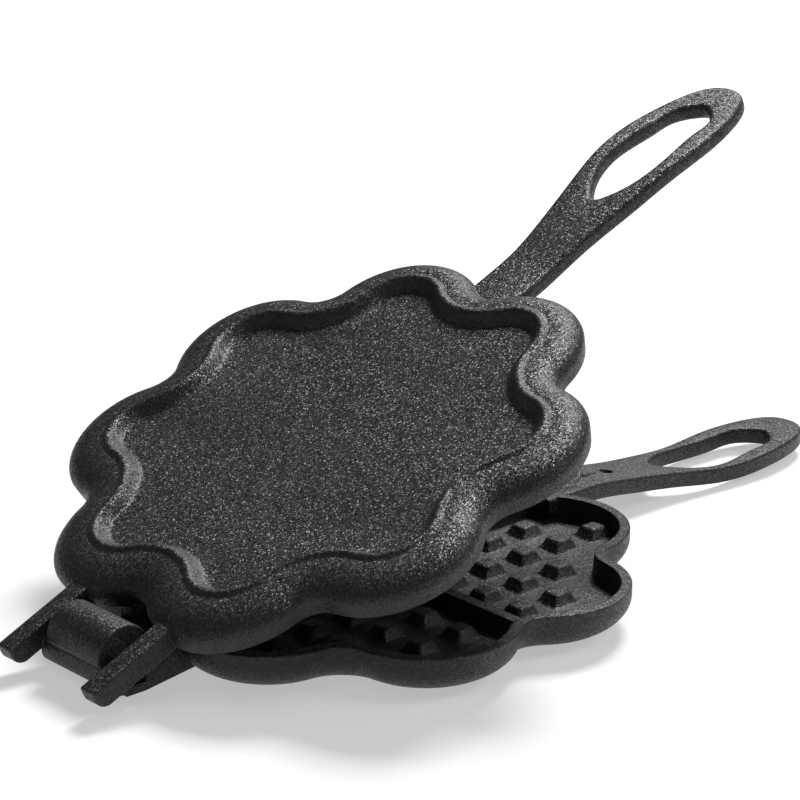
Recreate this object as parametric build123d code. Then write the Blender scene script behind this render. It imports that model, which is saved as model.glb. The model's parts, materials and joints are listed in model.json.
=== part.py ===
"""Stovetop waffle iron: two cast iron halves with heart cavities, joined by a loose hook-and-bar hinge.

Frame: millimetres, +Z up, +X towards the handles, origin on the stove surface below the plate's centre.
The base stands on z = 0. The lid is drawn closed, then turned open about the hinge line.
"""

from build123d import *
import math
import os

# ---- plate outline: eight lobes, two to each heart ----
LOBE_COUNT = 8
LOBE_CENTRE = 64.6  # plate centre to a lobe's centre
LOBE_RADIUS = 30.4
DIP_RADIUS = 10.2  # hollow between two hearts
CLEFT_RADIUS = 9.3  # hollow between the two lobes of one heart

# ---- base plate ----
BASE_DEPTH = 15.7  # stove surface to the parting plane
BASE_WALL = 3.8  # upright part of the side, below the rim
BASE_SHOULDER = 20.9  # how far the round underside runs in
RIM_WIDTH = 3.6
RIM_ROUND = 0.5
FOOT_WIDTH = 2.4  # flat ring that the base stands on
FOOT_RECESS = 3.6
FOOT_SLOPE = 3.2

# ---- lid plate, heights above its parting edge ----
CLOSING_GAP = 0.3
LID_LEAN = 0.9  # the side leans in this much towards the parting edge
LID_SIDE = 4.5  # height of the widest line
LID_SHOULDER = 10.9
LID_BAND = 11.1  # height of the flat band inside the shoulder
RIDGE_HEIGHT = 11.8
RIDGE_INSET = 12.6
RIDGE_FOOT = 1.0  # run of the ridge's outer slope
RIDGE_WIDTH = 1.4
PANEL_SLOPE = 3.6
PANEL_RECESS = 3.8
RIDGE_SHIFT = 2.2  # the ridge lies this much nearer the handle

# ---- heart cavities ----
BASE_CAVITY = 7.8
LID_CAVITY = 4.4
CAVITY_DRAFT = 0.09  # run of a cavity wall for each unit of depth
RIB_WIDTH = 3.9  # cross between the hearts
RIB_DROP = 1.9  # the cross lies this much below the rim
STUD_PITCH = 16.6
STUD_START = 13.3
STUD_BASE = 9.5
STUD_TOP = 6.0
BASE_STUD_HEIGHT = 3.75
LID_STUD_HEIGHT = 2.7
STUD_ROWS = ((0, 1, 2, 3), (0, 1, 2, 3, 4), (0, 1, 2), (0, 1))  # columns that each row of a heart holds

# ---- hinge ----
OPEN_ANGLE = 23.55
HINGE_REACH = 12.0  # from the outline's dip out to the hinge line
HINGE_DROP = 18.0  # hinge line below the parting plane
HOOK_WIDTH = 27.6
HOOK_REACH = 26.8  # from the dip out to the barrel's centre
HOOK_CENTRE_DROP = 2.3
HOOK_RADIUS = 10.0
HOOK_HOLLOW = 7.1
HOOK_LIP_DROP = 4.1  # the outer leg ends this far below the parting plane
HOOK_ROUND = 0.8
FOOT_SIDE = 1.2  # the neck and jaw stand this much wider than the barrel on each side
JAW_HEIGHT = 3.2
JAW_OVERLAP = 0.6  # the jaw ends this far beyond the barrel's centre
JAW_ROUND = 1.5
HEEL_LENGTH = 7.0  # flat underside of the jaw, from the barrel's centre towards the dish
NECK_RISE = 2.8  # the neck's underside lies this much above the stove at the dish
HEEL_ROUND = 6.0
LIP_ROUND = 1.1
HOLLOW_CORNER = 3.0
NECK_DROP = 4.0  # top of the neck behind the dish, below the parting plane
NECK_ROUND = 1.5
ARM_INNER = 18.2
ARM_WIDTH = 7.4
ARM_HEIGHT = 7.7
ARM_REACH = 12.7  # arm tips beyond the barrel's centre
ARM_TIP_ROUND = 4.4
ARM_ROUND = 0.9
BAR_OFFSET = 1.8  # bar's centre from the barrel's, towards the dish, when closed
BAR_DROP = 0.5  # bar's centre below the lid's parting edge
BAR_RADIUS = 4.0
BAR_SWELL = (1.0, 1.6)  # the bar's section runs on this far outwards and down

# ---- handles, lengths measured from the outline's dip ----
HANDLE_ROOT = 4.0  # how far a handle or the hook reaches into its plate
BASE_HANDLE_LENGTH = 133.6
BASE_HANDLE_SIDE = ((0.22, 10.5), (0.43, 11.6), (0.68, 16.1), (0.876, 14.4))  # share of length, half width
BASE_HANDLE_BOW = 7.6
BASE_TIP_BOW = 5.0
BASE_HANDLE_THICK = 6.2
BASE_EYE_WIDTH = 22.0
BASE_HANDLE_ROUND = 1.2
LID_HANDLE_LENGTH = 130.0
LID_HANDLE_SIDE = ((0.16, 10.9), (0.36, 13.4), (0.615, 18.3), (0.87, 15.4))
LID_HANDLE_BOW = 6.0
LID_TIP_BOW = 1.6
LID_HANDLE_LIFT = 1.2  # above the lid's parting edge
LID_HANDLE_THICK = 6.0
LID_EYE_WIDTH = 22.6
LID_HANDLE_ROUND = 2.0
EYE_START = 0.425  # shares of a handle's length
EYE_END = 0.89
EYE_SHAPE = ((0, 0), (0.17, 0.7), (0.42, 1), (0.73, 0.85), (1, 0))  # shares of its length and half width
EYE_CORNER = 3.2
BEND_START = 0.12
BEND_SHAPE = ((0.3, 0.34), (0.45, 0.68), (0.61, 1))  # shares of the length and of the bow
BEND_RISE = (0.8, 0.66)  # a later point, between the bow at the tip and the whole bow
BEND_END = 1.04
TIP_RISE = 0.1  # slope of a handle at its tip
GROOVE_START = 8.5
GROOVE_LENGTH = 23.5
GROOVE_WIDTH = 9.8
GROOVE_TIP = 1.8
GROOVE_DEPTH = 3.0
PIT_RADIUS = 2.6

# ---- worked out ----
HALF_STEP = math.pi / LOBE_COUNT
LOBE_X = LOBE_CENTRE * math.cos(HALF_STEP)
LOBE_Y = LOBE_CENTRE * math.sin(HALF_STEP)
PLATE_REACH = LOBE_X + LOBE_RADIUS  # along X, at the lobes beside the handle
SPLIT_X = PLATE_REACH + 0.4  # where handle, hook and fork leave their plate


def hollow_distance(radius):
    """Distance from the plate's centre to the centre of a hollow that is tangent to both lobes."""
    return LOBE_X + math.sqrt((LOBE_RADIUS + radius) ** 2 - LOBE_Y**2)


DIP_REACH = hollow_distance(DIP_RADIUS) - DIP_RADIUS
HOOK_CENTRE_X = -DIP_REACH - HOOK_REACH
HINGE_AXIS = Axis((-DIP_REACH - HINGE_REACH, 0, BASE_DEPTH - HINGE_DROP), (0, -1, 0))


def polar(distance, angle):
    return Vector(distance * math.cos(angle), distance * math.sin(angle))


def hollow(index, inset):
    """Centre and radius of a hollow of the outline, grown by the inset."""
    radius = CLEFT_RADIUS if index % 2 else DIP_RADIUS
    return polar(hollow_distance(radius), 2 * HALF_STEP * index), radius + inset


def lobe(index):
    return polar(LOBE_CENTRE, HALF_STEP * (2 * index + 1))


def meeting(hollow_index, lobe_index, inset):
    """Point where a lobe's arc runs into a hollow's arc."""
    centre, radius = hollow(hollow_index, inset)
    return centre + (lobe(lobe_index) - centre).normalized() * radius


def lobe_arc(index, inset):
    top = polar(LOBE_CENTRE + LOBE_RADIUS - inset, HALF_STEP * (2 * index + 1))
    return Edge.make_three_point_arc(meeting(index, index, inset), top, meeting(index + 1, index, inset))


def hollow_arc(index, inset):
    centre, radius = hollow(index, inset)
    bottom = centre - polar(radius, 2 * HALF_STEP * index)
    return Edge.make_three_point_arc(meeting(index, index - 1, inset), bottom, meeting(index, index, inset))


def outline(inset, height, shift=0.0):
    """Face of the plate's outline, moved in by the inset, at a height."""
    edges = []
    for index in range(LOBE_COUNT):
        edges += [lobe_arc(index, inset), hollow_arc(index + 1, inset)]
    return Pos(shift, 0, height) * Face(Wire(edges))


def heart(inset, half_rib, height):
    """Face of one heart cavity in the +X +Y quarter."""
    centre, radius = hollow(0, inset)
    reach = centre.X - math.sqrt(radius**2 - half_rib**2)
    first, last = math.asin(half_rib / radius), math.atan2(LOBE_Y, centre.X - LOBE_X)
    dip = centre - polar(radius, -(first + last) / 2)
    tip, start, end = Vector(half_rib, half_rib), Vector(reach, half_rib), Vector(half_rib, reach)
    edges = [
        Edge.make_line(tip, start),
        Edge.make_three_point_arc(start, dip, meeting(0, 0, inset)),
        lobe_arc(0, inset),
        hollow_arc(1, inset),
        lobe_arc(1, inset),
        Edge.make_three_point_arc(meeting(2, 1, inset), Vector(dip.Y, dip.X), end),
        Edge.make_line(end, tip),
    ]
    return Pos(0, 0, height) * Face(Wire(edges))


def both_sides(shape):
    return shape + mirror(shape, Plane.XZ)


def cavity(depth, stud_height):
    """What is taken out below a plate's rim: the sunk cross, and four hearts around their studs."""
    at_cross = RIM_WIDTH + RIB_DROP * CAVITY_DRAFT
    at_floor = RIM_WIDTH + depth * CAVITY_DRAFT
    half_rib = RIB_WIDTH / 2
    floor_rib = half_rib + (depth - RIB_DROP) * CAVITY_DRAFT
    sunk = loft([outline(at_cross, -RIB_DROP), outline(RIM_WIDTH, 0)], ruled=True)
    sunk += extrude(outline(RIM_WIDTH, 0), depth)
    quarter = loft([heart(at_floor, floor_rib, -depth), heart(at_cross, half_rib, -RIB_DROP)], ruled=True)
    stud_head = Pos(0, 0, stud_height) * Rectangle(STUD_TOP, STUD_TOP)
    stud = loft([Rectangle(STUD_BASE, STUD_BASE), stud_head], ruled=True)
    for row, columns in enumerate(STUD_ROWS):
        for column in columns:
            quarter -= Pos(STUD_START + STUD_PITCH * column, STUD_START + STUD_PITCH * row, -depth) * stud
    return sunk + both_sides(quarter + mirror(quarter, Plane.YZ))


def shoulder(width, start, rise, shift=0.0):
    """Round shoulder: a quarter of an ellipse carried round the outline, up to a flat top."""
    steps = 4
    sections = []
    for step in range(steps + 1):
        turn = math.pi / 2 * step / steps
        run = 1 - math.cos(turn)
        sections.append(outline(width * run, start + rise * math.sin(turn), shift * run))
    return loft(sections)


def base_plate():
    """The dish: upright wall, round underside, standing ring, sunk bottom and heart cavities."""
    side = extrude(outline(0, BASE_DEPTH - BASE_WALL), BASE_WALL)
    side = fillet(side.faces().sort_by(Axis.Z)[-1].edges(), RIM_ROUND)
    under = mirror(shoulder(BASE_SHOULDER, 0, BASE_DEPTH - BASE_WALL), Plane.XY)
    side += Pos(0, 0, BASE_DEPTH - BASE_WALL) * under
    ring = BASE_SHOULDER + FOOT_WIDTH
    side -= loft([outline(ring, 0), outline(ring + FOOT_SLOPE, FOOT_RECESS)], ruled=True)
    return side - Pos(0, 0, BASE_DEPTH) * cavity(BASE_CAVITY, BASE_STUD_HEIGHT)


def lid_plate():
    """The lid's plate: side that leans out from the parting edge, shoulder, ridge and sunk panel."""
    plate = loft([outline(LID_LEAN, 0), outline(0, LID_SIDE)], ruled=True)
    plate += shoulder(LID_SHOULDER, LID_SIDE, LID_BAND - LID_SIDE, RIDGE_SHIFT)
    crest = RIDGE_INSET + RIDGE_FOOT
    foot = outline(RIDGE_INSET, LID_BAND, RIDGE_SHIFT)
    plate += loft([foot, outline(crest, RIDGE_HEIGHT, RIDGE_SHIFT)], ruled=True)
    inner = crest + RIDGE_WIDTH
    panel = outline(inner + PANEL_SLOPE, RIDGE_HEIGHT - PANEL_RECESS, RIDGE_SHIFT)
    plate -= loft([panel, outline(inner, RIDGE_HEIGHT, RIDGE_SHIFT)], ruled=True)
    return plate - mirror(cavity(LID_CAVITY, LID_STUD_HEIGHT), Plane.XY)


def polygon_path(points):
    return [Edge.make_line(first, second) for first, second in zip(points, points[1:])]


def rounded_corners(body, corners):
    """Rounds the edges along Y that lie nearest the given points in X and Z."""
    for (x, z), radius in corners:
        along = body.edges().filter_by(Axis.Y)
        body = fillet(along.sort_by_distance((x, 0, z))[0], radius)
    return body


def hook():
    """Neck, open barrel and jaw behind the dish; neck and jaw are a little wider than the barrel."""
    neck_top, lip = BASE_DEPTH - NECK_DROP, BASE_DEPTH - HOOK_LIP_DROP
    middle, level = HOOK_CENTRE_X, BASE_DEPTH - HOOK_CENTRE_DROP
    root, jaw_end, heel = HANDLE_ROOT - DIP_REACH, middle - JAW_OVERLAP, middle + HEEL_LENGTH
    outer_in, outer_out = middle + HOOK_RADIUS, middle - HOOK_RADIUS
    inner_in, inner_out = middle + HOOK_HOLLOW, middle - HOOK_HOLLOW
    outer_arc = ((outer_in, level), (middle, level + HOOK_RADIUS), (outer_out, level))
    inner_arc = ((inner_out, level), (middle, level + HOOK_HOLLOW), (inner_in, level))
    jaw = [(inner_in, JAW_HEIGHT), (jaw_end, JAW_HEIGHT), (jaw_end, 0), (heel, 0), (root, NECK_RISE)]
    barrel_edges = [
        *polygon_path([(root, NECK_RISE), (root, neck_top), (outer_in, neck_top), outer_arc[0]]),
        Edge.make_three_point_arc(*outer_arc),
        *polygon_path([outer_arc[-1], (outer_out, lip), (inner_out, lip), inner_arc[0]]),
        Edge.make_three_point_arc(*inner_arc),
        *polygon_path([inner_arc[-1], *jaw]),
    ]
    foot_edges = polygon_path([*jaw, (root, neck_top), (inner_in, neck_top), jaw[0]])
    foot_corners = (((jaw_end, JAW_HEIGHT), JAW_ROUND), ((heel, 0), HEEL_ROUND))
    barrel_corners = (
        ((outer_in, neck_top), NECK_ROUND),
        ((outer_out, lip), LIP_ROUND),
        ((inner_out, lip), LIP_ROUND),
        ((inner_in, JAW_HEIGHT), HOLLOW_CORNER),
        *foot_corners,
    )
    barrel = extrude(Plane.XZ * Face(Wire(barrel_edges)), HOOK_WIDTH / 2, both=True)
    barrel = rounded_corners(barrel, barrel_corners)
    rims = barrel.faces().filter_by(Axis.Y).edges().filter_by(lambda edge: edge.center().Z > JAW_HEIGHT)
    barrel = fillet(rims.filter_by(lambda edge: edge.center().X < root), HOOK_ROUND)
    foot = extrude(Plane.XZ * Face(Wire(foot_edges)), HOOK_WIDTH / 2 + FOOT_SIDE, both=True)
    return barrel + rounded_corners(foot, foot_corners)


def fork():
    """Two arms behind the lid with a bar cast between them."""
    root, tip_x = -LOBE_X - LOBE_RADIUS / 2, HOOK_CENTRE_X - ARM_REACH
    arm = Box(root - tip_x, ARM_WIDTH, ARM_HEIGHT)
    arm = Pos((root + tip_x) / 2, ARM_INNER + ARM_WIDTH / 2, ARM_HEIGHT / 2) * arm
    tip = arm.edges().filter_by(Axis.Y).sort_by(lambda edge: edge.center().X + edge.center().Z)[0]
    arm = fillet(tip, ARM_TIP_ROUND)
    arm = fillet(arm.edges().filter_by(lambda edge: edge.center().X < -SPLIT_X), ARM_ROUND)
    out, down = BAR_SWELL
    section = make_hull(Circle(BAR_RADIUS).edges() + (Pos(-out, -down) * Circle(BAR_RADIUS)).edges())
    bar = extrude(Plane.XZ * section, ARM_INNER + ARM_ROUND / 2, both=True)
    return both_sides(arm) + Pos(HOOK_CENTRE_X + BAR_OFFSET, 0, -BAR_DROP) * bar


def mirrored_face(edges):
    """Face between a run of edges that starts and ends on the X axis and its mirror image."""
    return Face(Wire(edges + [edge.mirror(Plane.XZ) for edge in edges]))


def eye(length, half):
    """Face of a handle's long eye: pointed at the neck, fuller towards the tip."""
    span = EYE_END - EYE_START
    points = [(length * (EYE_START + span * along), half * across) for along, across in EYE_SHAPE]
    whole = mirrored_face([Edge.make_spline(points, tangents=[(1, 1), (0.5, -1)])])
    ends = whole.vertices().sort_by(Axis.X)
    return fillet([ends[0], ends[-1]], EYE_CORNER)


def bent_section(length, bow, tip_bow, thick):
    """Side view of a handle: level at its neck, bowed down, rising a little to its tip."""
    rise_at, rise = BEND_RISE
    drops = [(BEND_START, 0), *((along, share * bow) for along, share in BEND_SHAPE)]
    drops += [(rise_at, tip_bow + rise * (bow - tip_bow)), (BEND_END, tip_bow)]
    upper = [(length * along, -drop) for along, drop in drops]
    under = [(x, z - thick) for x, z in upper]
    return Face(Wire([
        Edge.make_line((-HANDLE_ROOT, 0), upper[0]),
        Edge.make_spline(upper, tangents=[(1, 0), (1, TIP_RISE)]),
        Edge.make_line(upper[-1], under[-1]),
        Edge.make_spline(under, tangents=[(1, 0), (1, TIP_RISE)]),
        *polygon_path([under[0], (-HANDLE_ROOT, -thick), (-HANDLE_ROOT, 0)]),
    ]))


def handle(length, side_line, bow, tip_bow, thick, eye_width, edge_round):
    """Flat handle with a long eye, drawn from the outline's dip outwards."""
    points = [(length * along, half) for along, half in side_line]
    neck = points[0][1]
    side = [
        *polygon_path([(-HANDLE_ROOT, 0), (-HANDLE_ROOT, neck), points[0]]),
        Edge.make_spline([*points, (length, 0)], tangents=[(1, 0), (0, -1)]),
    ]
    plan = mirrored_face(side) - eye(length, eye_width / 2)
    section = bent_section(length, bow, tip_bow, thick)
    body = extrude(Plane.XZ * section, length, both=True) & extrude(plan, 2 * (bow + thick), both=True)
    rims = body.edges().filter_by(lambda edge: edge.length > eye_width)
    return Pos(DIP_REACH, 0, 0) * fillet(rims, edge_round)


def groove():
    """Tapered groove in the neck of the base's handle, with a small pit at its end."""
    wide, narrow = GROOVE_WIDTH / 2, GROOVE_TIP / 2
    mouth = Polygon((-wide, 0), (wide, 0), (0, -GROOVE_DEPTH), align=None)
    tip = Polygon((-narrow, 0), (narrow, 0), (0, -GROOVE_DEPTH / 2), align=None)
    start, end = DIP_REACH + GROOVE_START, DIP_REACH + GROOVE_START + GROOVE_LENGTH
    cut = loft([Plane.YZ.offset(start) * mouth, Plane.YZ.offset(end) * tip], ruled=True)
    return cut + Pos(end + PIT_RADIUS, 0, -PIT_RADIUS / 2) * Sphere(PIT_RADIUS)


def parted(casting):
    """Cuts a casting where its handle and hinge end leave the plate: plate, handle, hinge end."""
    front = Plane((SPLIT_X, 0, 0), z_dir=(1, 0, 0))
    back = Plane((-SPLIT_X, 0, 0), z_dir=(-1, 0, 0))
    plate = split(split(casting, front, Keep.BOTTOM), back, Keep.BOTTOM)
    return plate, split(casting, front, Keep.TOP), split(casting, back, Keep.TOP)


def base_casting():
    grip = handle(BASE_HANDLE_LENGTH, BASE_HANDLE_SIDE, BASE_HANDLE_BOW, BASE_TIP_BOW, BASE_HANDLE_THICK,
                  BASE_EYE_WIDTH, BASE_HANDLE_ROUND)
    return base_plate() + Pos(0, 0, BASE_DEPTH) * (grip - groove()) + hook()


def lid_casting():
    """The lid in its closed place."""
    grip = handle(LID_HANDLE_LENGTH, LID_HANDLE_SIDE, LID_HANDLE_BOW, LID_TIP_BOW, LID_HANDLE_THICK,
                  LID_EYE_WIDTH, LID_HANDLE_ROUND)
    casting = lid_plate() + Pos(0, 0, LID_HANDLE_LIFT) * mirror(grip, Plane.XY) + fork()
    return Pos(0, 0, BASE_DEPTH + CLOSING_GAP) * casting


def main():
    os.makedirs("parts", exist_ok=True)
    base_names = ("base_dish", "base_handle", "base_hook")
    lid_names = ("lid_plate", "lid_handle", "lid_fork")
    for name, piece in zip(base_names, parted(base_casting())):
        export_step(piece, f"parts/{name}.step")
    for name, piece in zip(lid_names, parted(lid_casting())):
        export_step(piece.rotate(HINGE_AXIS, OPEN_ANGLE), f"parts/{name}.step")


main()
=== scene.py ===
"""Looks of a stovetop waffle iron: two seasoned cast iron halves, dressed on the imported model.

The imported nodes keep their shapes. This script joins copies of them into one skin for each casting,
rebuilds the lid's ridge and the studs as the rounded forms that come out of sand, gives both their
iron, and sets up the studio. All lengths are in metres, +Z up, +X towards the handles.
"""

from __future__ import annotations

import json
import logging
import math
from dataclasses import dataclass, field
from enum import Enum
from typing import Any, ClassVar, Iterable

import bmesh
import bpy
from mathutils import Matrix, Vector

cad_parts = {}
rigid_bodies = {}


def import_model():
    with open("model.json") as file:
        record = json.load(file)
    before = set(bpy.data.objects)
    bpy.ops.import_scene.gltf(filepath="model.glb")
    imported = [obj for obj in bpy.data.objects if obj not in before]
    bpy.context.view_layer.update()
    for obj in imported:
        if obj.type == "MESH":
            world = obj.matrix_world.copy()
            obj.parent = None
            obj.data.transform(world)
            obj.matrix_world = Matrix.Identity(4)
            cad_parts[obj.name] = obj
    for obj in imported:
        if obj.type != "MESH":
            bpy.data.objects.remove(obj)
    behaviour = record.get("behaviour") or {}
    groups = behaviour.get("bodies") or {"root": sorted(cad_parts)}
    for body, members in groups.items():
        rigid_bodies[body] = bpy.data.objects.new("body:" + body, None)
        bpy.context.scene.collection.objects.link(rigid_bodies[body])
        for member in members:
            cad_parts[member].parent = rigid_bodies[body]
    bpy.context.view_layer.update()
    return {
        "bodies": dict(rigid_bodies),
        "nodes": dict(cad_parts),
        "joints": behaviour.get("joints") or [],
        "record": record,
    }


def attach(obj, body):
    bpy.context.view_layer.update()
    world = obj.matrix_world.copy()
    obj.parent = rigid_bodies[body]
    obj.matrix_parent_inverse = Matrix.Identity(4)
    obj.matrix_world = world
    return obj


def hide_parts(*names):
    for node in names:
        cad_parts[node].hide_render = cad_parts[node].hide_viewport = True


LOG = logging.getLogger("waffle_iron")
MM = 0.001
WHITE = (1.0, 1.0, 1.0, 1.0)


def add_object(name: str, data: bpy.types.ID) -> bpy.types.Object:
    """Adds an object to the scene.

    Args:
        name: The object's name.
        data: Its mesh, light or camera.

    Returns:
        The new object.
    """
    added = bpy.data.objects.new(name, data)
    bpy.context.scene.collection.objects.link(added)
    return added


# ---------------------------------------------------------------- shader expressions


class Signal:
    """A shader socket that takes part in Python expressions."""

    def __init__(self, tree: Tree, socket: bpy.types.NodeSocket) -> None:
        """Wraps a socket.

        Args:
            tree: The tree that the socket belongs to.
            socket: The output socket.
        """
        self.tree = tree
        self.socket = socket

    def _math(self, operation: str, *values: Any) -> Signal:
        """One Math node on this tree.

        Args:
            operation: The node's operation.
            values: Up to three signals or numbers.

        Returns:
            The node's result.
        """
        inputs = dict(enumerate(values))
        return self.tree.node("ShaderNodeMath", {"operation": operation}, inputs)["Value"]

    def __add__(self, other: Any) -> Signal:
        """Sum."""
        return self._math("ADD", self, other)

    __radd__ = __add__

    def __mul__(self, other: Any) -> Signal:
        """Product."""
        return self._math("MULTIPLY", self, other)

    __rmul__ = __mul__

    def __sub__(self, other: Any) -> Signal:
        """Difference."""
        return self._math("SUBTRACT", self, other)

    def __rsub__(self, other: Any) -> Signal:
        """Difference, the other way round."""
        return self._math("SUBTRACT", other, self)

    def clamped(self) -> Signal:
        """The signal held between 0 and 1."""
        return self._math("MINIMUM", self._math("MAXIMUM", self, 0.0), 1.0)

    def ramp(self, low: float, high: float) -> Signal:
        """Smooth step of the signal.

        Args:
            low: Value that becomes 0.
            high: Value that becomes 1.

        Returns:
            The smooth mask.
        """
        settings = {"interpolation_type": "SMOOTHSTEP"}
        inputs = {"Value": self, "From Min": low, "From Max": high}
        return self.tree.node("ShaderNodeMapRange", settings, inputs)["Result"]


class Outputs:
    """The outputs of one node, by name."""

    def __init__(self, tree: Tree, node: bpy.types.Node) -> None:
        """Wraps a node.

        Args:
            tree: The tree that the node belongs to.
            node: The node.
        """
        self.tree = tree
        self.node = node

    def __getitem__(self, name: str) -> Signal:
        """The output socket with that name."""
        return Signal(self.tree, self.node.outputs[name])

    def at(self, index: int) -> Signal:
        """The output socket in that place."""
        return Signal(self.tree, self.node.outputs[index])


class Tree:
    """A node tree in which Python expressions add nodes."""

    def __init__(self, tree: bpy.types.NodeTree) -> None:
        """Takes over a tree.

        Args:
            tree: The tree; its nodes are cleared.
        """
        self.tree = tree
        self.tree.nodes.clear()

    def node(self, kind: str, settings: dict[str, Any] | None = None,
             inputs: dict[Any, Any] | None = None) -> Outputs:
        """Adds any node.

        Args:
            kind: The node's type.
            settings: Its own settings, which are set first.
            inputs: Values or signals for its sockets, by name or number.

        Returns:
            The node's outputs.
        """
        node = self.tree.nodes.new(kind)
        for name, value in (settings or {}).items():
            setattr(node, name, value)
        for key, value in (inputs or {}).items():
            socket = node.inputs[key]
            if isinstance(value, Signal):
                self.tree.links.new(value.socket, socket)
            else:
                socket.default_value = value
        return Outputs(self, node)

    def vector(self, operation: str, *values: Any, scale: float | None = None) -> Signal:
        """One Vector Math node.

        Args:
            operation: The node's operation.
            values: Up to three signals or vectors.
            scale: The factor of the scale operation.

        Returns:
            The node's vector.
        """
        inputs: dict[Any, Any] = dict(enumerate(values))
        if scale is not None:
            inputs["Scale"] = scale
        return self.node("ShaderNodeVectorMath", {"operation": operation}, inputs)["Vector"]


class SurfaceTree(Tree):
    """The node tree of one material or of the world."""

    # Places of a Mix node's colour sockets, whose names are shared with its other kinds.
    MIX_FACTOR, MIX_FIRST, MIX_SECOND, MIX_RESULT = 0, 6, 7, 2

    def __init__(self, owner: bpy.types.Material | bpy.types.World) -> None:
        """Takes over the owner's tree.

        Args:
            owner: What the tree belongs to.
        """
        owner.use_nodes = True
        super().__init__(owner.node_tree)

    def mix(self, factor: Any, first: Any, second: Any) -> Signal:
        """Joins two colours.

        Args:
            factor: How much of the second.
            first: A colour or signal.
            second: A colour or signal.

        Returns:
            The joined colour.
        """
        inputs = {self.MIX_FACTOR: factor, self.MIX_FIRST: first, self.MIX_SECOND: second}
        return self.node("ShaderNodeMix", {"data_type": "RGBA"}, inputs).at(self.MIX_RESULT)

    def place(self) -> Signal:
        """Object coordinates, which lie in the shared frame."""
        return self.node("ShaderNodeTexCoord")["Object"]

    def noise(self, size: float, detail: float = 2.0, roughness: float = 0.5) -> Signal:
        """Noise of a given grain.

        Args:
            size: Size of its largest features, in metres.
            detail: Number of finer layers.
            roughness: Strength of the finer layers.

        Returns:
            The noise, about 0 to 1.
        """
        inputs = {"Vector": self.place(), "Scale": 1 / size,
                  "Detail": detail, "Roughness": roughness}
        return self.node("ShaderNodeTexNoise", None, inputs)["Fac"]


class ShapeTree(Tree):
    """A Geometry Nodes tree with named inputs."""

    def __init__(self, name: str) -> None:
        """Makes an empty tree with one output.

        Args:
            name: The tree's name.
        """
        super().__init__(bpy.data.node_groups.new(name, "GeometryNodeTree"))
        self._socket("Geometry", "NodeSocketGeometry", "OUTPUT")
        self.values: dict[str, Any] = {}

    def _socket(self, name: str, kind: str, side: str) -> str:
        """Adds a socket to the tree's interface.

        Args:
            name: The socket's name.
            kind: Its type.
            side: INPUT or OUTPUT.

        Returns:
            Its identifier.
        """
        return self.tree.interface.new_socket(name, in_out=side, socket_type=kind).identifier

    def given(self, name: str, kind: str, value: Any = None) -> Signal:
        """Adds a named input.

        Args:
            name: The input's name.
            kind: Its socket type.
            value: What the modifier sets it to; None for the piece's own mesh.

        Returns:
            The input.
        """
        identifier = self._socket(name, kind, "INPUT")
        if value is not None:
            self.values[identifier] = value
        return self.node("NodeGroupInput")[name]

    def finish(self, shape: Signal, piece: bpy.types.Object,
               material: bpy.types.Material) -> None:
        """Ends the tree and turns its result into the piece's own mesh.

        Args:
            shape: What the tree has made.
            piece: The object that carries the modifier.
            material: What its faces are made of.
        """
        material_input = self.given("Material", "NodeSocketMaterial", material)
        plain = self.node("GeometryNodeRealizeInstances", None, {"Geometry": shape})["Geometry"]
        faced = self.node("GeometryNodeSetMaterial", None,
                          {"Geometry": plain, "Material": material_input})["Geometry"]
        self.node("NodeGroupOutput", None, {"Geometry": faced})
        modifier = piece.modifiers.new(self.tree.name, "NODES")
        modifier.node_group = self.tree
        for identifier, value in self.values.items():
            modifier[identifier] = value
        view = bpy.context.evaluated_depsgraph_get()
        result = bpy.data.meshes.new_from_object(piece.evaluated_get(view), depsgraph=view)
        piece.modifiers.remove(modifier)
        piece.data = result


# ---------------------------------------------------------------- finishes


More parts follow.
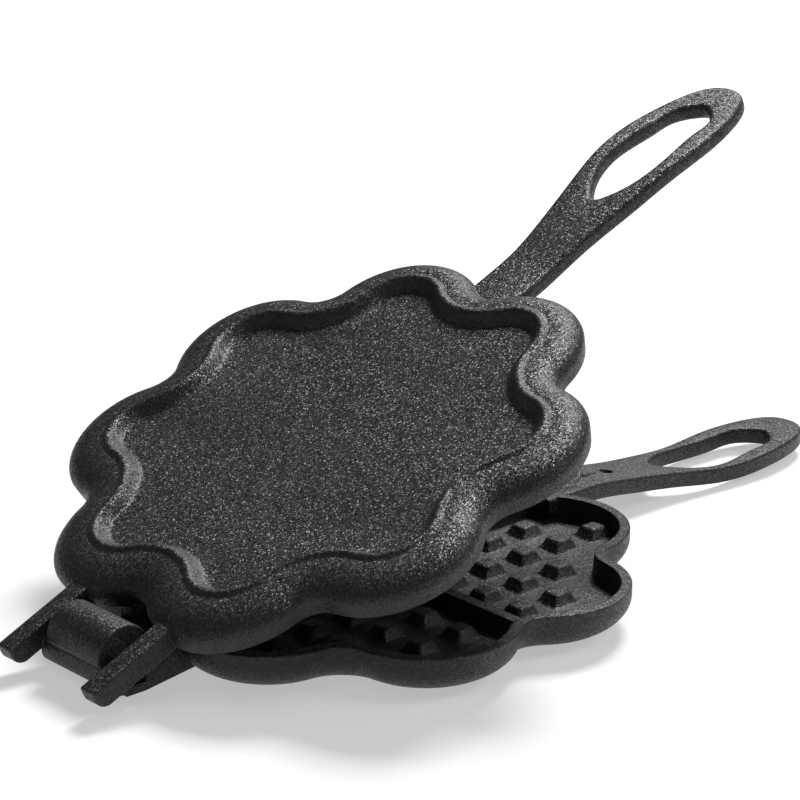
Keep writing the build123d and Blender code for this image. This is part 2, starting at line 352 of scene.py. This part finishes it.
@dataclass(frozen=True)
class SeasonedIron:
    """Sand-cast iron under baked-on oil: near black, with glinting grains and a broad soft sheen.

    Attributes:
        name: The material's name.
        body: Colour of most grains.
        dust: Colour that the palest grains go towards.
        pale_from: The share of grains that keep the body's colour.
        pale_most: How far the palest grain goes towards the dust.
        grain: Size of a grain.
        tilt: How far a grain's facet leans out of the surface.
        swell: Size of the soft unevenness under the grain.
        relief: Height of that unevenness.
        edge_radius: How far a sharp edge is rounded in shading.
        edge_samples: Rays that find those edges.
        sheen: The middle roughness.
        grain_spread: How much the roughness changes from grain to grain.
        patch: Size of the patches in which the oil has baked on evenly.
        patch_spread: How much the roughness changes from patch to patch.
        ior: Index of refraction of the oil.
    """

    name: str
    body: tuple[float, float, float, float] = (0.007, 0.007, 0.0077, 1.0)
    dust: tuple[float, float, float, float] = (0.06, 0.06, 0.064, 1.0)
    pale_from: float = 0.55
    pale_most: float = 0.8
    grain: float = 0.36 * MM
    tilt: float = 0.62
    swell: float = 1.6 * MM
    relief: float = 0.12 * MM
    edge_radius: float = 0.9 * MM
    edge_samples: int = 6
    sheen: float = 0.47
    grain_spread: float = 0.16
    patch: float = 42 * MM
    patch_spread: float = 0.1
    ior: float = 1.5

    def material(self) -> bpy.types.Material:
        """Builds the material.

        Returns:
            The new material.
        """
        material = bpy.data.materials.new(self.name)
        tree = SurfaceTree(material)
        cells = tree.node("ShaderNodeTexVoronoi", {"feature": "F1"},
                          {"Vector": tree.place(), "Scale": 1 / self.grain})["Color"]
        fleck = tree.node("ShaderNodeSeparateColor", None, {"Color": cells})["Red"]
        patches = tree.noise(self.patch)
        pale = fleck.ramp(self.pale_from, 1.0) * self.pale_most
        roughness = ((patches - 0.5) * self.patch_spread + (0.5 - fleck) * self.grain_spread
                     + self.sheen)
        shader = tree.node("ShaderNodeBsdfPrincipled", None, {
            "Base Color": tree.mix(pale, self.body, self.dust), "Roughness": roughness.clamped(),
            "Metallic": 0.0, "IOR": self.ior, "Normal": self._normal(tree, cells)})
        tree.node("ShaderNodeOutputMaterial", None, {"Surface": shader["BSDF"]})
        return material

    def _normal(self, tree: SurfaceTree, cells: Signal) -> Signal:
        """The surface's direction: rounded edges, a soft swell, and a facet for each grain.

        Args:
            tree: The material's tree.
            cells: A colour of its own for each grain.

        Returns:
            The direction.
        """
        soft = tree.node("ShaderNodeBevel", {"samples": self.edge_samples},
                         {"Radius": self.edge_radius})["Normal"]
        flow = tree.noise(self.swell, detail=3.0, roughness=0.6)
        swell = tree.node("ShaderNodeBump", None, {
            "Strength": 1.0, "Distance": self.relief, "Height": flow, "Normal": soft})["Normal"]
        facets = tree.vector("SUBTRACT", cells, (0.5, 0.5, 0.5))
        grains = tree.vector("SCALE", facets, scale=self.tilt)
        return tree.vector("NORMALIZE", tree.vector("ADD", swell, grains))


@dataclass(frozen=True)
class Paper:
    """Pale studio floor that shows white to the eye and keeps the object's shadow.

    Attributes:
        name: The material's name.
        tone: How much light the paper sends back.
        fibre: Size of its fibres.
        fibre_tone: Tone of the darkest fibres, as a share of the paper's.
        lift: Light added for the eye alone, which falls on nothing.
    """

    name: str = "studio_paper"
    tone: float = 0.58
    fibre: float = 3 * MM
    fibre_tone: float = 0.985
    lift: float = 0.45

    def material(self) -> bpy.types.Material:
        """Builds the material.

        Returns:
            The new material.
        """
        material = bpy.data.materials.new(self.name)
        tree = SurfaceTree(material)
        fibres = tree.noise(self.fibre, detail=4.0, roughness=0.6)
        colour = tree.mix(fibres, self._grey(self.tone * self.fibre_tone), self._grey(self.tone))
        sheet = tree.node("ShaderNodeBsdfDiffuse", None, {"Color": colour})
        paths = tree.node("ShaderNodeLightPath")
        seen = paths["Is Camera Ray"] + paths["Is Glossy Ray"] + paths["Is Transmission Ray"]
        glow = tree.node("ShaderNodeEmission", None,
                         {"Color": WHITE, "Strength": seen.clamped() * self.lift})
        both = tree.node("ShaderNodeAddShader", None, {0: sheet["BSDF"], 1: glow["Emission"]})
        tree.node("ShaderNodeOutputMaterial", None, {"Surface": both["Shader"]})
        return material

    @staticmethod
    def _grey(tone: float) -> tuple[float, float, float, float]:
        """A grey of that tone."""
        return (tone, tone, tone, 1.0)


# ---------------------------------------------------------------- the two castings


def dress(obj: bpy.types.Object, material: bpy.types.Material) -> None:
    """Gives an object one material in place of all that it had.

    Args:
        obj: The object.
        material: Its new material.
    """
    obj.data.materials.clear()
    obj.data.materials.append(material)


class Half(Enum):
    """The iron's two bodies."""

    BASE = "base"
    LID = "lid"


@dataclass(frozen=True)
class Hinge:
    """The line that the lid turns on, and how far the lid stands open at rest."""

    x: float = -93.69 * MM
    z: float = -2.3 * MM
    open_angle: float = math.radians(23.55)

    def closing(self, half: Half) -> Matrix:
        """The turn that brings a half from its rest pose to its closed pose.

        Args:
            half: Which half.

        Returns:
            The turn about the hinge line; nothing for the base.
        """
        if half is Half.BASE:
            return Matrix.Identity(4)
        pivot = Matrix.Translation((self.x, 0.0, self.z))
        return pivot @ Matrix.Rotation(self.open_angle, 4, "Y") @ pivot.inverted()


@dataclass(frozen=True)
class Ridge:
    """The rounded ridge round the lid's sunk panel, on the band inside the shoulder.

    Heights stand above the origin with the lid closed, and insets lie inside the plate's outline.

    Attributes:
        band_height: Height of the band that the ridge stands on.
        panel_height: Height of the sunk panel.
        crest_rise: Rise of the crest over the band.
        band_inset: Where the new faces begin.
        outer: Where the outer flank begins and ends.
        inner: Where the inner flank begins and ends.
        rings: Rings of faces from the band to the panel.
        near: Heights this close are the same.
        level_from: A face whose normal stands this upright is level.
    """

    band_height: float = 27.1 * MM
    panel_height: float = 24.0 * MM
    crest_rise: float = 0.9 * MM
    band_inset: float = 10.9 * MM
    outer: tuple[float, float] = (12.1 * MM, 14.0 * MM)
    inner: tuple[float, float] = (14.3 * MM, 19.4 * MM)
    rings: int = 26
    near: float = 0.02 * MM
    level_from: float = 0.9

    def shape(self, skin: bmesh.types.BMesh) -> None:
        """Puts the rounded ridge and its soft foot in place of the lofted one.

        Args:
            skin: The lid's skin in its closed pose.
        """
        bmesh.ops.delete(skin, geom=self._old_faces(skin), context="FACES")
        border = self._border(skin)
        inward = self._inward(border)
        last, reach = border, self.inner[1] - self.band_inset
        for step in range(1, self.rings + 1):
            run = reach * step / self.rings
            height = self._height(self.band_inset + run)
            ring = []
            for corner, way in zip(border, inward):
                place = corner.co + way * run
                ring.append(skin.verts.new((place.x, place.y, height)))
            for index, (low, high) in enumerate(zip(last, ring)):
                skin.faces.new((last[index - 1], low, high, ring[index - 1]))
            last = ring
        skin.faces.new(last)
        bmesh.ops.recalc_face_normals(skin, faces=skin.faces)

    def _height(self, inset: float) -> float:
        """Height of the ridge's section.

        Args:
            inset: Distance inside the plate's outline.

        Returns:
            The height there.
        """
        def ease(start: float, end: float) -> float:
            """Smooth step from 0 to 1 between two insets."""
            share = min(max((inset - start) / (end - start), 0.0), 1.0)
            return share * share * (3 - 2 * share)

        drop = self.band_height + self.crest_rise - self.panel_height
        rise = self.crest_rise * ease(*self.outer)
        return self.band_height + rise - drop * ease(*self.inner)

    def _old_faces(self, skin: bmesh.types.BMesh) -> list[bmesh.types.BMFace]:
        """Finds the panel and all that grows from it up to the shoulder.

        Args:
            skin: The lid's skin in its closed pose.

        Returns:
            The faces.
        """
        skin.normal_update()
        level = [face for face in skin.faces
                 if face.normal.z > self.level_from
                 and self._lies_at(self.panel_height, face.verts)]
        found, queue = set(level), list(level)
        while queue:
            face = queue.pop()
            for edge in face.edges:
                on_band = self._lies_at(self.band_height, edge.verts)
                least = (self.band_height if on_band else self.panel_height) - self.near
                for other in edge.link_faces:
                    if other in found or min(v.co.z for v in other.verts) < least:
                        continue
                    found.add(other)
                    queue.append(other)
        return list(found)

    def _lies_at(self, height: float, corners: Iterable[bmesh.types.BMVert]) -> bool:
        """Whether all those corners lie at a height."""
        return all(abs(corner.co.z - height) < self.near for corner in corners)

    def _border(self, skin: bmesh.types.BMesh) -> list[bmesh.types.BMVert]:
        """The open border left in the skin, in order.

        Args:
            skin: The lid's skin without its panel.

        Returns:
            The border's vertices.
        """
        edge = next(edge for edge in skin.edges if len(edge.link_faces) == 1)
        first, corner = edge.verts
        loop = [first]
        while corner is not first:
            loop.append(corner)
            edge = next(other for other in corner.link_edges
                        if len(other.link_faces) == 1 and other is not edge)
            corner = edge.other_vert(corner)
        return loop

    def _inward(self, loop: list[bmesh.types.BMVert]) -> list[Vector]:
        """Level directions that point in from a loop.

        Args:
            loop: The loop's vertices.

        Returns:
            One direction for each vertex.
        """
        ways = []
        for index, corner in enumerate(loop):
            back = corner.co - loop[index - 1].co
            ahead = loop[(index + 1) % len(loop)].co - corner.co
            along = back / back.length_squared + ahead / ahead.length_squared
            ways.append(Vector((-along.y, along.x, 0.0)).normalized())
        area = sum(loop[index - 1].co.x * corner.co.y - corner.co.x * loop[index - 1].co.y
                   for index, corner in enumerate(loop))
        return ways if area > 0 else [-way for way in ways]


@dataclass(frozen=True)
class StudRing:
    """One ring of a stud's section, on the straight side that the section is drawn round.

    Attributes:
        side_at: Height at which the straight side is taken.
        spread: How far the ring lies outside it.
        height: The ring's own height.
    """

    side_at: float
    spread: float
    height: float


# Rings above the foot, which flares into the floor, and rings below the top, which is rounded off.
FOOT_RINGS = (StudRing(0.0, 0.85 * MM, -0.05 * MM), StudRing(0.0, 0.33 * MM, 0.1 * MM),
              StudRing(0.45 * MM, 0.04 * MM, 0.45 * MM))
HEAD_RINGS = (StudRing(0.8 * MM, 0.0, 0.8 * MM), StudRing(0.36 * MM, -0.07 * MM, 0.36 * MM),
              StudRing(0.0, -0.42 * MM, 0.07 * MM), StudRing(0.0, -1.1 * MM, 0.0))


@dataclass(frozen=True)
class StudField:
    """The rounded studs on the floor of the four heart cavities of one half.

    Attributes:
        half: The half that they belong to.
        floor: Height of the cavity floor with the lid closed.
        height: Their height.
        points_up: Whether they point up, with the lid closed.
        start: From the middle to the first stud, both ways.
        pitch: From stud to stud.
        rows: Studs in each row of one heart, from the middle out.
        foot: Half the width of the straight side at the floor.
        head: Half its width at the top.
        corner: Radius of the upright corners.
        arc_steps: Faces round each corner.
        unevenness: How much larger the largest stud is than the smallest.
        seed: Seed of their sizes.
        near: A corner of the skin this far off the floor belongs to a stud.
    """

    half: Half
    floor: float
    height: float
    points_up: bool
    start: float = 13.3 * MM
    pitch: float = 16.6 * MM
    rows: tuple[int, ...] = (4, 5, 3, 2)
    foot: float = 4.75 * MM
    head: float = 3.0 * MM
    corner: float = 0.95 * MM
    arc_steps: int = 2
    unevenness: float = 0.02
    seed: int = 7
    near: float = 0.01 * MM

    # Places of a Random Value node's number sockets: least, most, and the value it gives.
    RANDOM_SOCKETS: ClassVar[tuple[int, int, int]] = (2, 3, 1)

    def centres(self) -> list[tuple[float, float]]:
        """Where the studs stand, seen from above.

        Returns:
            Their centres.
        """
        quarter = [(self.start + self.pitch * column, self.start + self.pitch * row)
                   for row, count in enumerate(self.rows) for column in range(count)]
        return [(x * side, y * way) for x, y in quarter for side in (-1, 1) for way in (-1, 1)]

    def clear(self, skin: bmesh.types.BMesh) -> None:
        """Lays the sharp studs of the skin flat, to make room for the rounded ones.

        Args:
            skin: The half's skin in its closed pose.
        """
        way = 1 if self.points_up else -1
        centres = self.centres()
        for corner in skin.verts:
            rise = (corner.co.z - self.floor) * way
            if not self.near < rise < self.height + self.near:
                continue
            if any(abs(corner.co.x - x) < self.foot and abs(corner.co.y - y) < self.foot
                   for x, y in centres):
                corner.co.z = self.floor

    def _section(self) -> list[tuple[float, float]]:
        """Section of one stud, with a flared foot and a rounded head.

        Returns:
            Half widths and heights, from the foot up.
        """
        def side(height: float) -> float:
            """Half width of the straight side at a height."""
            return self.foot + (self.head - self.foot) * height / self.height

        top = self.height
        low = [(side(ring.side_at) + ring.spread, ring.height) for ring in FOOT_RINGS]
        high = [(side(top - ring.side_at) + ring.spread, top - ring.height) for ring in HEAD_RINGS]
        return low + high

    def _stud(self) -> bpy.types.Object:
        """One stud at the origin, pointing up.

        Returns:
            The stud.
        """
        shape = bmesh.new()
        last: list[bmesh.types.BMVert] = []
        for half_width, height in self._section():
            middle = half_width - self.corner
            ring = []
            for quarter, (x_side, y_side) in enumerate(((1, 1), (-1, 1), (-1, -1), (1, -1))):
                for step in range(self.arc_steps + 1):
                    turn = math.pi / 2 * (quarter + step / self.arc_steps)
                    place = (x_side * middle + self.corner * math.cos(turn),
                             y_side * middle + self.corner * math.sin(turn), height)
                    ring.append(shape.verts.new(place))
            for index in range(len(last)):
                shape.faces.new((last[index - 1], last[index], ring[index], ring[index - 1]))
            last = ring
        shape.faces.new(last)
        mesh = bpy.data.meshes.new("stud")
        shape.to_mesh(mesh)
        shape.free()
        mesh.shade_smooth()
        return add_object("stud", mesh)

    def build(self, material: bpy.types.Material, hinge: Hinge) -> None:
        """Sets the studs out on their floor.

        Args:
            material: What they are made of.
            hinge: The hinge between the halves.
        """
        stud = self._stud()
        points = bpy.data.meshes.new("stud_centres")
        points.from_pydata([(x, y, self.floor) for x, y in self.centres()], [], [])
        piece = add_object(f"{self.half.value}_studs", points)
        tree = ShapeTree(f"{self.half.value}_stud_field")
        centres = tree.given("Centres", "NodeSocketGeometry")
        template = tree.given("Stud", "NodeSocketObject", stud)
        turned = 0.0 if self.points_up else math.pi
        turn = tree.given("Turn", "NodeSocketVector", (turned, 0.0, 0.0))
        unevenness = tree.given("Unevenness", "NodeSocketFloat", self.unevenness)
        seed = tree.given("Seed", "NodeSocketInt", self.seed)
        shape = tree.node("GeometryNodeObjectInfo", {"transform_space": "ORIGINAL"},
                          {"Object": template})["Geometry"]
        least, most, value = self.RANDOM_SOCKETS
        size = tree.node("FunctionNodeRandomValue", {"data_type": "FLOAT"},
                         {least: 1.0, most: unevenness + 1.0, "Seed": seed}).at(value)
        placed = tree.node("GeometryNodeInstanceOnPoints", None, {
            "Points": centres, "Instance": shape, "Rotation": turn, "Scale": size})["Instances"]
        tree.finish(placed, piece, material)
        piece.data.transform(hinge.closing(self.half).inverted())
        bpy.data.objects.remove(stud)
        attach(piece, self.half.value)
        LOG.info("%s: %d studs, %d faces", piece.name, len(self.centres()),
                 len(piece.data.polygons))


@dataclass(frozen=True)
class Casting:
    """One half of the iron as the single casting that it is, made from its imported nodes.

    Attributes:
        half: Which half.
        nodes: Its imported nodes.
        finish: What it is made of.
        hinge: The hinge between the halves.
        cut: How far from the middle the nodes were cut apart, at both ends.
        near: Corners this close are the same.
        crease: An edge that turns more than this stays sharp.
        ridge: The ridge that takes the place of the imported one.
        studs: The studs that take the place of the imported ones.
    """

    half: Half
    nodes: tuple[str, ...]
    finish: SeasonedIron
    hinge: Hinge = Hinge()
    cut: float = 90.483 * MM
    near: float = 0.004 * MM
    crease: float = math.radians(32)
    ridge: Ridge | None = None
    studs: StudField | None = None

    def build(self, frame: dict[str, Any]) -> None:
        """Joins the half's nodes into one skin without the cuts between them, and dresses it.

        Args:
            frame: The loaded frame.
        """
        mesh = self._skin(frame)
        casting = add_object(f"{self.half.value}_casting", mesh)
        material = self.finish.material()
        dress(casting, material)
        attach(casting, self.half.value)
        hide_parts(*self.nodes)
        LOG.info("%s: %d faces", casting.name, len(mesh.polygons))
        if self.studs:
            self.studs.build(material, self.hinge)

    def _skin(self, frame: dict[str, Any]) -> bpy.types.Mesh:
        """One closed mesh of all the half's nodes.

        Args:
            frame: The loaded frame.

        Returns:
            The mesh.
        """
        shape = bmesh.new()
        for name in self.nodes:
            shape.from_mesh(frame["nodes"][name].data)
        closing = self.hinge.closing(self.half)
        bmesh.ops.transform(shape, matrix=closing, verts=shape.verts)
        caps = [face for face in shape.faces
                if all(abs(abs(corner.co.x) - self.cut) < self.near for corner in face.verts)]
        bmesh.ops.delete(shape, geom=caps, context="FACES")
        bmesh.ops.remove_doubles(shape, verts=shape.verts, dist=self.near)
        if self.ridge:
            self.ridge.shape(shape)
        if self.studs:
            self.studs.clear(shape)
        bmesh.ops.transform(shape, matrix=closing.inverted(), verts=shape.verts)
        mesh = bpy.data.meshes.new(f"{self.half.value}_skin")
        shape.to_mesh(mesh)
        open_edges = sum(1 for edge in shape.edges if len(edge.link_faces) != 2)
        LOG.info("%s: %d cut faces taken out, %d open edges", mesh.name, len(caps), open_edges)
        shape.free()
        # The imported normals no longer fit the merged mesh.
        mesh.attributes.remove(mesh.attributes["custom_normal"])
        mesh.shade_smooth()
        mesh.set_sharp_from_angle(angle=self.crease)
        return mesh


# ---------------------------------------------------------------- studio


@dataclass(frozen=True)
class SoftBox:
    """A rectangular studio light aimed at a point.

    Attributes:
        name: The light's name.
        place: Where it hangs.
        aim: The point that it faces.
        size: Its width and height.
        power: In watts.
    """

    name: str
    place: tuple[float, float, float]
    aim: tuple[float, float, float]
    size: tuple[float, float]
    power: float

    def build(self) -> None:
        """Adds the light."""
        lamp = bpy.data.lights.new(self.name, "AREA")
        lamp.shape = "RECTANGLE"
        lamp.size, lamp.size_y = self.size
        lamp.energy = self.power
        holder = add_object(self.name, lamp)
        holder.location = self.place
        way = Vector(self.aim) - Vector(self.place)
        holder.rotation_euler = way.to_track_quat("-Z", "Y").to_euler()


@dataclass(frozen=True)
class Studio:
    """Floor, lights, camera and view.

    Attributes:
        azimuth: Direction that the camera stands in, from straight in front.
        elevation: How far it looks down.
        roll: Its turn about its own line of sight.
        eye: Where it stands.
        lens: Its focal length, in millimetres.
        sensor: Width of its sensor, in millimetres.
        clip: The nearest and the farthest that it sees.
        sky: Strength of the even light from all round.
        reach: From the middle of the floor to its sides.
        boxes: The lights.
    """

    azimuth: float = math.radians(-41.66)
    elevation: float = math.radians(19.17)
    roll: float = math.radians(-0.154)
    eye: tuple[float, float, float] = (-0.6194, -0.7161, 0.3971)
    lens: float = 137.5
    sensor: float = 36.0
    clip: tuple[float, float] = (0.05, 20.0)
    sky: float = 0.08
    reach: float = 3.0
    boxes: tuple[SoftBox, ...] = field(default_factory=lambda: (
        SoftBox("rim_box", (0.88, 0.42, 1.24), (0.0, 0.0, 0.05), (0.5, 0.5), 30.0),
        SoftBox("front_box", (0.68, -0.90, 1.0), (0.0, 0.0, 0.03), (0.5, 0.5), 4.0),
        SoftBox("top_box", (-0.69, -0.32, 1.20), (0.0, 0.0, 0.05), (0.9, 0.9), 1.5),
    ))

    def build(self) -> None:
        """Sets up everything around the object."""
        self._floor()
        self._world()
        for box in self.boxes:
            box.build()
        self._camera()
        bpy.context.scene.view_settings.view_transform = "Standard"

    def _floor(self) -> None:
        """Adds the floor under the object."""
        side = self.reach
        mesh = bpy.data.meshes.new("floor")
        corners = [(-side, -side, 0.0), (side, -side, 0.0), (side, side, 0.0), (-side, side, 0.0)]
        mesh.from_pydata(corners, [], [(0, 1, 2, 3)])
        floor = add_object("floor", mesh)
        dress(floor, Paper().material())

    def _world(self) -> None:
        """Lights the surroundings evenly."""
        world = bpy.data.worlds.new("studio")
        bpy.context.scene.world = world
        tree = SurfaceTree(world)
        sky = tree.node("ShaderNodeBackground", None, {"Color": WHITE, "Strength": self.sky})
        tree.node("ShaderNodeOutputWorld", None, {"Surface": sky["Background"]})

    def _camera(self) -> None:
        """Adds the camera and makes it the scene's own."""
        level = math.cos(self.elevation)
        back = Vector((math.sin(self.azimuth) * level, -math.cos(self.azimuth) * level,
                       math.sin(self.elevation)))
        right = Vector((math.cos(self.azimuth), math.sin(self.azimuth), 0.0))
        up = back.cross(right)
        turned = right * math.cos(self.roll) + up * math.sin(self.roll)
        up = up * math.cos(self.roll) - right * math.sin(self.roll)
        pose = Matrix((turned, up, back)).transposed().to_4x4()
        pose.translation = Vector(self.eye)
        data = bpy.data.cameras.new("camera")
        data.lens, data.sensor_width = self.lens, self.sensor
        data.clip_start, data.clip_end = self.clip
        camera = add_object("camera", data)
        camera.matrix_world = pose
        bpy.context.scene.camera = camera


def main() -> None:
    """Builds the scene: the two castings, then the studio."""
    logging.basicConfig(level=logging.INFO, format="%(name)s: %(message)s")
    for leftover in list(bpy.data.objects):
        bpy.data.objects.remove(leftover)
    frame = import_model()
    base_studs = StudField(Half.BASE, floor=7.9 * MM, height=3.75 * MM, points_up=True)
    lid_studs = StudField(Half.LID, floor=20.4 * MM, height=2.7 * MM, points_up=False)
    Casting(Half.BASE, ("base_dish", "base_handle", "base_hook"),
            SeasonedIron("seasoned_iron_base"), studs=base_studs).build(frame)
    Casting(Half.LID, ("lid_plate", "lid_handle", "lid_fork"),
            SeasonedIron("seasoned_iron_lid"), ridge=Ridge(), studs=lid_studs).build(frame)
    Studio().build()


if __name__ == "__main__":
    main()
